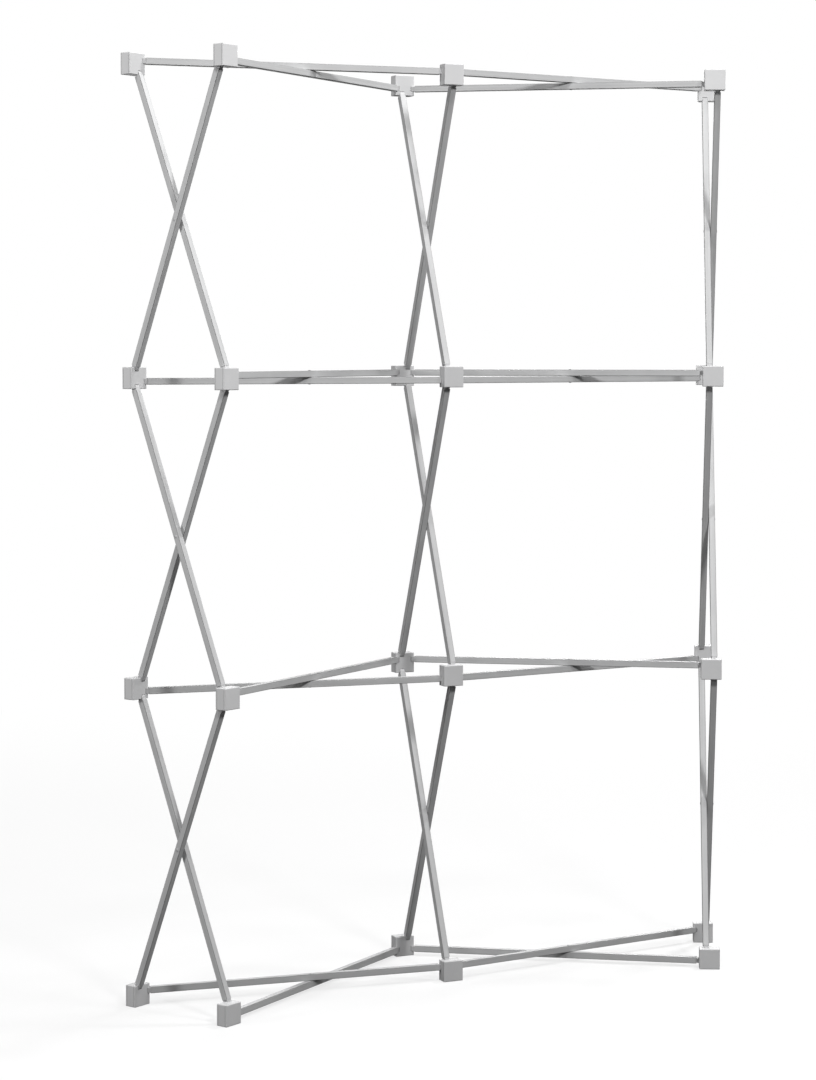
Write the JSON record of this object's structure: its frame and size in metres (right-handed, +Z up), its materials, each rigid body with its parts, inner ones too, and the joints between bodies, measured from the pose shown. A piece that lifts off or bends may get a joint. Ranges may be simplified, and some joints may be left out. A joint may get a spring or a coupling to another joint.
{
  "type": "pop up display wall frame",
  "caption": "Free-standing bowed display wall frame of hubs and crossed square tubes, which folds on its pins into a compact bundle.",
  "frame": {"origin": "middle of the frame's box, on the floor", "axes": "+Z up, +Y to the rear, outwards from the bow, -Y to the hollow side that faces the viewer, +X to the viewer's right"},
  "size_m": [1.6458, 0.4974, 2.2868],
  "materials": {
    "hub": "light grey moulded",
    "tube": "satin natural"
  },
  "bodies": {
    "hub_front_left_1": {"hub_front_left_1": "hub"},
    "hub_front_left_2": {"hub_front_left_2": "hub"},
    "hub_front_left_3": {"hub_front_left_3": "hub"},
    "hub_front_left_4": {"hub_front_left_4": "hub"},
    "hub_front_middle_1": {"hub_front_middle_1": "hub"},
    "hub_front_middle_2": {"hub_front_middle_2": "hub"},
    "hub_front_middle_3": {"hub_front_middle_3": "hub"},
    "hub_front_middle_4": {"hub_front_middle_4": "hub"},
    "hub_front_right_1": {"hub_front_right_1": "hub"},
    "hub_front_right_2": {"hub_front_right_2": "hub"},
    "hub_front_right_3": {"hub_front_right_3": "hub"},
    "hub_front_right_4": {"hub_front_right_4": "hub"},
    "hub_rear_left_1": {"hub_rear_left_1": "hub"},
    "hub_rear_left_2": {"hub_rear_left_2": "hub"},
    "hub_rear_left_3": {"hub_rear_left_3": "hub"},
    "hub_rear_left_4": {"hub_rear_left_4": "hub"},
    "hub_rear_middle_1": {"hub_rear_middle_1": "hub"},
    "hub_rear_middle_2": {"hub_rear_middle_2": "hub"},
    "hub_rear_middle_3": {"hub_rear_middle_3": "hub"},
    "hub_rear_middle_4": {"hub_rear_middle_4": "hub"},
    "hub_rear_right_1": {"hub_rear_right_1": "hub"},
    "hub_rear_right_2": {"hub_rear_right_2": "hub"},
    "hub_rear_right_3": {"hub_rear_right_3": "hub"},
    "hub_rear_right_4": {"hub_rear_right_4": "hub"},
    "strut_left_1_back": {"strut_left_1_back": "tube"},
    "strut_left_1_fore": {"strut_left_1_fore": "tube"},
    "strut_left_2_back": {"strut_left_2_back": "tube"},
    "strut_left_2_fore": {"strut_left_2_fore": "tube"},
    "strut_left_3_back": {"strut_left_3_back": "tube"},
    "strut_left_3_fore": {"strut_left_3_fore": "tube"},
    "strut_middle_1_back": {"strut_middle_1_back": "tube"},
    "strut_middle_1_fore": {"strut_middle_1_fore": "tube"},
    "strut_middle_2_back": {"strut_middle_2_back": "tube"},
    "strut_middle_2_fore": {"strut_middle_2_fore": "tube"},
    "strut_middle_3_back": {"strut_middle_3_back": "tube"},
    "strut_middle_3_fore": {"strut_middle_3_fore": "tube"},
    "strut_right_1_back": {"strut_right_1_back": "tube"},
    "strut_right_1_fore": {"strut_right_1_fore": "tube"},
    "strut_right_2_back": {"strut_right_2_back": "tube"},
    "strut_right_2_fore": {"strut_right_2_fore": "tube"},
    "strut_right_3_back": {"strut_right_3_back": "tube"},
    "strut_right_3_fore": {"strut_right_3_fore": "tube"},
    "rail_left_1_rear": {"rail_left_1_rear": "tube"},
    "rail_left_1_front": {"rail_left_1_front": "tube"},
    "rail_left_2_rear": {"rail_left_2_rear": "tube"},
    "rail_left_2_front": {"rail_left_2_front": "tube"},
    "rail_left_3_rear": {"rail_left_3_rear": "tube"},
    "rail_left_3_front": {"rail_left_3_front": "tube"},
    "rail_left_4_rear": {"rail_left_4_rear": "tube"},
    "rail_left_4_front": {"rail_left_4_front": "tube"},
    "rail_right_1_rear": {"rail_right_1_rear": "tube"},
    "rail_right_1_front": {"rail_right_1_front": "tube"},
    "rail_right_2_rear": {"rail_right_2_rear": "tube"},
    "rail_right_2_front": {"rail_right_2_front": "tube"},
    "rail_right_3_rear": {"rail_right_3_rear": "tube"},
    "rail_right_3_front": {"rail_right_3_front": "tube"},
    "rail_right_4_rear": {"rail_right_4_rear": "tube"},
    "rail_right_4_front": {"rail_right_4_front": "tube"}
  },
  "joints": [
    {"name": "fold", "type": "hinge", "parent": "hub_front_middle_1", "child": "strut_middle_1_back", "pos_m": [-0.0082, -0.04977, 0.049], "axis": [-1, 0, 0], "range_deg": [0, 63.7]},
    {"name": "hub_rear_middle_2_pin", "type": "hinge", "parent": "strut_middle_1_back", "child": "hub_rear_middle_2", "pos_m": [-0.0082, 0.22223, 0.74794], "axis": [1, 0, 0], "range_deg": [0, 63.7]},
    {"name": "strut_middle_1_fore_pin", "type": "hinge", "parent": "strut_middle_1_back", "child": "strut_middle_1_fore", "pos_m": [0, 0.08623, 0.39847], "axis": [1, 0, 0], "range_deg": [0, 127.4]},
    {"name": "hub_rear_middle_1_pin", "type": "hinge", "parent": "strut_middle_1_fore", "child": "hub_rear_middle_1", "pos_m": [0.0082, 0.22223, 0.049], "axis": [1, 0, 0], "range_deg": [-63.7, 0]},
    {"name": "hub_front_middle_2_pin", "type": "hinge", "parent": "strut_middle_1_fore", "child": "hub_front_middle_2", "pos_m": [0.0082, -0.04977, 0.74794], "axis": [1, 0, 0], "range_deg": [-63.7, 0]},
    {"name": "strut_middle_2_back_pin", "type": "hinge", "parent": "hub_front_middle_2", "child": "strut_middle_2_back", "pos_m": [0.0082, -0.04977, 0.79394], "axis": [1, 0, 0], "range_deg": [-63.7, 0]},
    {"name": "hub_rear_middle_3_pin", "type": "hinge", "parent": "strut_middle_2_back", "child": "hub_rear_middle_3", "pos_m": [0.0082, 0.22223, 1.49288], "axis": [1, 0, 0], "range_deg": [0, 63.7]},
    {"name": "strut_middle_2_fore_pin", "type": "hinge", "parent": "hub_rear_middle_2", "child": "strut_middle_2_fore", "pos_m": [-0.0082, 0.22223, 0.79394], "axis": [1, 0, 0], "range_deg": [0, 63.7]},
    {"name": "hub_front_middle_3_pin", "type": "hinge", "parent": "strut_middle_2_fore", "child": "hub_front_middle_3", "pos_m": [-0.0082, -0.04977, 1.49288], "axis": [1, 0, 0], "range_deg": [-63.7, 0]},
    {"name": "strut_middle_3_back_pin", "type": "hinge", "parent": "hub_front_middle_3", "child": "strut_middle_3_back", "pos_m": [-0.0082, -0.04977, 1.53888], "axis": [1, 0, 0], "range_deg": [-63.7, 0]},
    {"name": "hub_rear_middle_4_pin", "type": "hinge", "parent": "strut_middle_3_back", "child": "hub_rear_middle_4", "pos_m": [-0.0082, 0.22223, 2.23782], "axis": [1, 0, 0], "range_deg": [0, 63.7]},
    {"name": "strut_middle_3_fore_pin", "type": "hinge", "parent": "hub_rear_middle_3", "child": "strut_middle_3_fore", "pos_m": [0.0082, 0.22223, 1.53888], "axis": [1, 0, 0], "range_deg": [0, 63.7]},
    {"name": "hub_front_middle_4_pin", "type": "hinge", "parent": "strut_middle_3_fore", "child": "hub_front_middle_4", "pos_m": [0.0082, -0.04977, 2.23782], "axis": [1, 0, 0], "range_deg": [-63.7, 0]},
    {"name": "rail_left_1_rear_pin", "type": "hinge", "parent": "hub_front_middle_1", "child": "rail_left_1_rear", "pos_m": [-0.023, -0.04977, 0.0342], "axis": [0, 0, 1], "range_deg": [-77.25, 0]},
    {"name": "hub_rear_left_1_pin", "type": "hinge", "parent": "rail_left_1_rear", "child": "hub_rear_left_1", "pos_m": [-0.76792, 0.03734, 0.0342], "axis": [0, 0, 1], "range_deg": [0, 50.39]},
    {"name": "rail_left_1_front_pin", "type": "hinge", "parent": "hub_rear_middle_1", "child": "rail_left_1_front", "pos_m": [-0.023, 0.22223, 0.0178], "axis": [0, 0, 1], "range_deg": [0, 50.39]},
    {"name": "rail_left_2_rear_pin", "type": "hinge", "parent": "hub_front_middle_2", "child": "rail_left_2_rear", "pos_m": [-0.023, -0.04977, 0.76274], "axis": [0, 0, 1], "range_deg": [-77.25, 0]},
    {"name": "hub_rear_left_2_pin", "type": "hinge", "parent": "rail_left_2_rear", "child": "hub_rear_left_2", "pos_m": [-0.76792, 0.03734, 0.76274], "axis": [0, 0, 1], "range_deg": [0, 50.39]},
    {"name": "rail_left_2_front_pin", "type": "hinge", "parent": "hub_rear_middle_2", "child": "rail_left_2_front", "pos_m": [-0.023, 0.22223, 0.77914], "axis": [0, 0, 1], "range_deg": [0, 50.39]},
    {"name": "rail_left_3_rear_pin", "type": "hinge", "parent": "hub_front_middle_3", "child": "rail_left_3_rear", "pos_m": [-0.023, -0.04977, 1.50768], "axis": [0, 0, 1], "range_deg": [-77.25, 0]},
    {"name": "hub_rear_left_3_pin", "type": "hinge", "parent": "rail_left_3_rear", "child": "hub_rear_left_3", "pos_m": [-0.76792, 0.03734, 1.50768], "axis": [0, 0, 1], "range_deg": [0, 50.39]},
    {"name": "rail_left_3_front_pin", "type": "hinge", "parent": "hub_rear_middle_3", "child": "rail_left_3_front", "pos_m": [-0.023, 0.22223, 1.52408], "axis": [0, 0, 1], "range_deg": [0, 50.39]},
    {"name": "rail_left_4_rear_pin", "type": "hinge", "parent": "hub_front_middle_4", "child": "rail_left_4_rear", "pos_m": [-0.023, -0.04977, 2.26902], "axis": [0, 0, 1], "range_deg": [-77.25, 0]},
    {"name": "hub_rear_left_4_pin", "type": "hinge", "parent": "rail_left_4_rear", "child": "hub_rear_left_4", "pos_m": [-0.76792, 0.03734, 2.26902], "axis": [0, 0, 1], "range_deg": [0, 50.39]},
    {"name": "rail_left_4_front_pin", "type": "hinge", "parent": "hub_rear_middle_4", "child": "rail_left_4_front", "pos_m": [-0.023, 0.22223, 2.25262], "axis": [0, 0, 1], "range_deg": [0, 50.39]},
    {"name": "strut_left_1_back_pin", "type": "hinge", "parent": "hub_rear_left_2", "child": "strut_left_1_back", "pos_m": [-0.78101, 0.03042, 0.74794], "axis": [0.884, 0.4676, 0], "range_deg": [-63.7, 0]},
    {"name": "strut_left_1_fore_pin", "type": "hinge", "parent": "hub_rear_left_1", "child": "strut_left_1_fore", "pos_m": [-0.7955, 0.02275, 0.049], "axis": [0.884, 0.4676, 0], "range_deg": [0, 63.7]},
    {"name": "hub_front_left_2_pin", "type": "hinge", "parent": "strut_left_1_fore", "child": "hub_front_left_2", "pos_m": [-0.66832, -0.21768, 0.74794], "axis": [0.884, 0.4676, 0], "range_deg": [-63.7, 0]},
    {"name": "hub_front_left_1_pin", "type": "hinge", "parent": "strut_left_1_back", "child": "hub_front_left_1", "pos_m": [-0.65382, -0.21001, 0.049], "axis": [0.884, 0.4676, 0], "range_deg": [0, 63.7]},
    {"name": "strut_left_2_back_pin", "type": "hinge", "parent": "hub_rear_left_3", "child": "strut_left_2_back", "pos_m": [-0.7955, 0.02275, 1.49288], "axis": [0.884, 0.4676, 0], "range_deg": [-63.7, 0]},
    {"name": "strut_left_2_fore_pin", "type": "hinge", "parent": "hub_rear_left_2", "child": "strut_left_2_fore", "pos_m": [-0.78101, 0.03042, 0.79394], "axis": [0.884, 0.4676, 0], "range_deg": [0, 63.7]},
    {"name": "hub_front_left_3_pin", "type": "hinge", "parent": "strut_left_2_fore", "child": "hub_front_left_3", "pos_m": [-0.65382, -0.21001, 1.49288], "axis": [0.884, 0.4676, 0], "range_deg": [-63.7, 0]},
    {"name": "strut_left_3_back_pin", "type": "hinge", "parent": "hub_rear_left_4", "child": "strut_left_3_back", "pos_m": [-0.78101, 0.03042, 2.23782], "axis": [0.884, 0.4676, 0], "range_deg": [-63.7, 0]},
    {"name": "strut_left_3_fore_pin", "type": "hinge", "parent": "hub_rear_left_3", "child": "strut_left_3_fore", "pos_m": [-0.7955, 0.02275, 1.53888], "axis": [0.884, 0.4676, 0], "range_deg": [0, 63.7]},
    {"name": "hub_front_left_4_pin", "type": "hinge", "parent": "strut_left_3_fore", "child": "hub_front_left_4", "pos_m": [-0.66832, -0.21768, 2.23782], "axis": [0.884, 0.4676, 0], "range_deg": [-63.7, 0]},
    {"name": "rail_right_1_rear_pin", "type": "hinge", "parent": "hub_front_middle_1", "child": "rail_right_1_rear", "pos_m": [0.023, -0.04977, 0.0342], "axis": [0, 0, 1], "range_deg": [0, 77.25]},
    {"name": "hub_rear_right_1_pin", "type": "hinge", "parent": "rail_right_1_rear", "child": "hub_rear_right_1", "pos_m": [0.76792, 0.03734, 0.0342], "axis": [0, 0, 1], "range_deg": [-50.39, 0]},
    {"name": "rail_right_1_front_pin", "type": "hinge", "parent": "hub_rear_middle_1", "child": "rail_right_1_front", "pos_m": [0.023, 0.22223, 0.0178], "axis": [0, 0, 1], "range_deg": [-50.39, 0]},
    {"name": "rail_right_2_rear_pin", "type": "hinge", "parent": "hub_front_middle_2", "child": "rail_right_2_rear", "pos_m": [0.023, -0.04977, 0.76274], "axis": [0, 0, 1], "range_deg": [0, 77.25]},
    {"name": "hub_rear_right_2_pin", "type": "hinge", "parent": "rail_right_2_rear", "child": "hub_rear_right_2", "pos_m": [0.76792, 0.03734, 0.76274], "axis": [0, 0, 1], "range_deg": [-50.39, 0]},
    {"name": "rail_right_2_front_pin", "type": "hinge", "parent": "hub_rear_middle_2", "child": "rail_right_2_front", "pos_m": [0.023, 0.22223, 0.77914], "axis": [0, 0, 1], "range_deg": [-50.39, 0]},
    {"name": "rail_right_3_rear_pin", "type": "hinge", "parent": "hub_front_middle_3", "child": "rail_right_3_rear", "pos_m": [0.023, -0.04977, 1.50768], "axis": [0, 0, 1], "range_deg": [0, 77.25]},
    {"name": "hub_rear_right_3_pin", "type": "hinge", "parent": "rail_right_3_rear", "child": "hub_rear_right_3", "pos_m": [0.76792, 0.03734, 1.50768], "axis": [0, 0, 1], "range_deg": [-50.39, 0]},
    {"name": "rail_right_3_front_pin", "type": "hinge", "parent": "hub_rear_middle_3", "child": "rail_right_3_front", "pos_m": [0.023, 0.22223, 1.52408], "axis": [0, 0, 1], "range_deg": [-50.39, 0]},
    {"name": "rail_right_4_rear_pin", "type": "hinge", "parent": "hub_front_middle_4", "child": "rail_right_4_rear", "pos_m": [0.023, -0.04977, 2.26902], "axis": [0, 0, 1], "range_deg": [0, 77.25]},
    {"name": "hub_rear_right_4_pin", "type": "hinge", "parent": "rail_right_4_rear", "child": "hub_rear_right_4", "pos_m": [0.76792, 0.03734, 2.26902], "axis": [0, 0, 1], "range_deg": [-50.39, 0]},
    {"name": "rail_right_4_front_pin", "type": "hinge", "parent": "hub_rear_middle_4", "child": "rail_right_4_front", "pos_m": [0.023, 0.22223, 2.25262], "axis": [0, 0, 1], "range_deg": [-50.39, 0]},
    {"name": "strut_right_1_back_pin", "type": "hinge", "parent": "hub_rear_right_2", "child": "strut_right_1_back", "pos_m": [0.78101, 0.03042, 0.74794], "axis": [0.884, -0.4676, 0], "range_deg": [-63.7, 0]},
    {"name": "strut_right_1_fore_pin", "type": "hinge", "parent": "hub_rear_right_1", "child": "strut_right_1_fore", "pos_m": [0.7955, 0.02275, 0.049], "axis": [0.884, -0.4676, 0], "range_deg": [0, 63.7]},
    {"name": "hub_front_right_2_pin", "type": "hinge", "parent": "strut_right_1_fore", "child": "hub_front_right_2", "pos_m": [0.66832, -0.21768, 0.74794], "axis": [0.884, -0.4676, 0], "range_deg": [-63.7, 0]},
    {"name": "hub_front_right_1_pin", "type": "hinge", "parent": "strut_right_1_back", "child": "hub_front_right_1", "pos_m": [0.65382, -0.21001, 0.049], "axis": [0.884, -0.4676, 0], "range_deg": [0, 63.7]},
    {"name": "strut_right_2_back_pin", "type": "hinge", "parent": "hub_rear_right_3", "child": "strut_right_2_back", "pos_m": [0.7955, 0.02275, 1.49288], "axis": [0.884, -0.4676, 0], "range_deg": [-63.7, 0]},
    {"name": "strut_right_2_fore_pin", "type": "hinge", "parent": "hub_rear_right_2", "child": "strut_right_2_fore", "pos_m": [0.78101, 0.03042, 0.79394], "axis": [0.884, -0.4676, 0], "range_deg": [0, 63.7]},
    {"name": "hub_front_right_3_pin", "type": "hinge", "parent": "strut_right_2_fore", "child": "hub_front_right_3", "pos_m": [0.65382, -0.21001, 1.49288], "axis": [0.884, -0.4676, 0], "range_deg": [-63.7, 0]},
    {"name": "strut_right_3_back_pin", "type": "hinge", "parent": "hub_rear_right_4", "child": "strut_right_3_back", "pos_m": [0.78101, 0.03042, 2.23782], "axis": [0.884, -0.4676, 0], "range_deg": [-63.7, 0]},
    {"name": "strut_right_3_fore_pin", "type": "hinge", "parent": "hub_rear_right_3", "child": "strut_right_3_fore", "pos_m": [0.7955, 0.02275, 1.53888], "axis": [0.884, -0.4676, 0], "range_deg": [0, 63.7]},
    {"name": "hub_front_right_4_pin", "type": "hinge", "parent": "strut_right_3_fore", "child": "hub_front_right_4", "pos_m": [0.66832, -0.21768, 2.23782], "axis": [0.884, -0.4676, 0], "range_deg": [-63.7, 0]}
  ],
  "couplings": [
    {"joint": "hub_rear_middle_2_pin", "follows": "fold", "ratio": 1},
    {"joint": "strut_middle_1_fore_pin", "follows": "fold", "ratio": 2},
    {"joint": "hub_rear_middle_1_pin", "follows": "fold", "ratio": -1},
    {"joint": "hub_front_middle_2_pin", "follows": "fold", "ratio": -1},
    {"joint": "strut_middle_2_back_pin", "follows": "fold", "ratio": -1},
    {"joint": "hub_rear_middle_3_pin", "follows": "fold", "ratio": 1},
    {"joint": "strut_middle_2_fore_pin", "follows": "fold", "ratio": 1},
    {"joint": "hub_front_middle_3_pin", "follows": "fold", "ratio": -1},
    {"joint": "strut_middle_3_back_pin", "follows": "fold", "ratio": -1},
    {"joint": "hub_rear_middle_4_pin", "follows": "fold", "ratio": 1},
    {"joint": "strut_middle_3_fore_pin", "follows": "fold", "ratio": 1},
    {"joint": "hub_front_middle_4_pin", "follows": "fold", "ratio": -1},
    {"joint": "rail_left_1_rear_pin", "follows": "fold", "ratio": -1.2127},
    {"joint": "hub_rear_left_1_pin", "follows": "fold", "ratio": 0.791},
    {"joint": "rail_left_1_front_pin", "follows": "fold", "ratio": 0.791},
    {"joint": "rail_left_2_rear_pin", "follows": "fold", "ratio": -1.2127},
    {"joint": "hub_rear_left_2_pin", "follows": "fold", "ratio": 0.791},
    {"joint": "rail_left_2_front_pin", "follows": "fold", "ratio": 0.791},
    {"joint": "rail_left_3_rear_pin", "follows": "fold", "ratio": -1.2127},
    {"joint": "hub_rear_left_3_pin", "follows": "fold", "ratio": 0.791},
    {"joint": "rail_left_3_front_pin", "follows": "fold", "ratio": 0.791},
    {"joint": "rail_left_4_rear_pin", "follows": "fold", "ratio": -1.2127},
    {"joint": "hub_rear_left_4_pin", "follows": "fold", "ratio": 0.791},
    {"joint": "rail_left_4_front_pin", "follows": "fold", "ratio": 0.791},
    {"joint": "strut_left_1_back_pin", "follows": "fold", "ratio": -1},
    {"joint": "strut_left_1_fore_pin", "follows": "fold", "ratio": 1},
    {"joint": "hub_front_left_2_pin", "follows": "fold", "ratio": -1},
    {"joint": "hub_front_left_1_pin", "follows": "fold", "ratio": 1},
    {"joint": "strut_left_2_back_pin", "follows": "fold", "ratio": -1},
    {"joint": "strut_left_2_fore_pin", "follows": "fold", "ratio": 1},
    {"joint": "hub_front_left_3_pin", "follows": "fold", "ratio": -1},
    {"joint": "strut_left_3_back_pin", "follows": "fold", "ratio": -1},
    {"joint": "strut_left_3_fore_pin", "follows": "fold", "ratio": 1},
    {"joint": "hub_front_left_4_pin", "follows": "fold", "ratio": -1},
    {"joint": "rail_right_1_rear_pin", "follows": "fold", "ratio": 1.2127},
    {"joint": "hub_rear_right_1_pin", "follows": "fold", "ratio": -0.791},
    {"joint": "rail_right_1_front_pin", "follows": "fold", "ratio": -0.791},
    {"joint": "rail_right_2_rear_pin", "follows": "fold", "ratio": 1.2127},
    {"joint": "hub_rear_right_2_pin", "follows": "fold", "ratio": -0.791},
    {"joint": "rail_right_2_front_pin", "follows": "fold", "ratio": -0.791},
    {"joint": "rail_right_3_rear_pin", "follows": "fold", "ratio": 1.2127},
    {"joint": "hub_rear_right_3_pin", "follows": "fold", "ratio": -0.791},
    {"joint": "rail_right_3_front_pin", "follows": "fold", "ratio": -0.791},
    {"joint": "rail_right_4_rear_pin", "follows": "fold", "ratio": 1.2127},
    {"joint": "hub_rear_right_4_pin", "follows": "fold", "ratio": -0.791},
    {"joint": "rail_right_4_front_pin", "follows": "fold", "ratio": -0.791},
    {"joint": "strut_right_1_back_pin", "follows": "fold", "ratio": -1},
    {"joint": "strut_right_1_fore_pin", "follows": "fold", "ratio": 1},
    {"joint": "hub_front_right_2_pin", "follows": "fold", "ratio": -1},
    {"joint": "hub_front_right_1_pin", "follows": "fold", "ratio": 1},
    {"joint": "strut_right_2_back_pin", "follows": "fold", "ratio": -1},
    {"joint": "strut_right_2_fore_pin", "follows": "fold", "ratio": 1},
    {"joint": "hub_front_right_3_pin", "follows": "fold", "ratio": -1},
    {"joint": "strut_right_3_back_pin", "follows": "fold", "ratio": -1},
    {"joint": "strut_right_3_fore_pin", "follows": "fold", "ratio": 1},
    {"joint": "hub_front_right_4_pin", "follows": "fold", "ratio": -1}
  ]
}
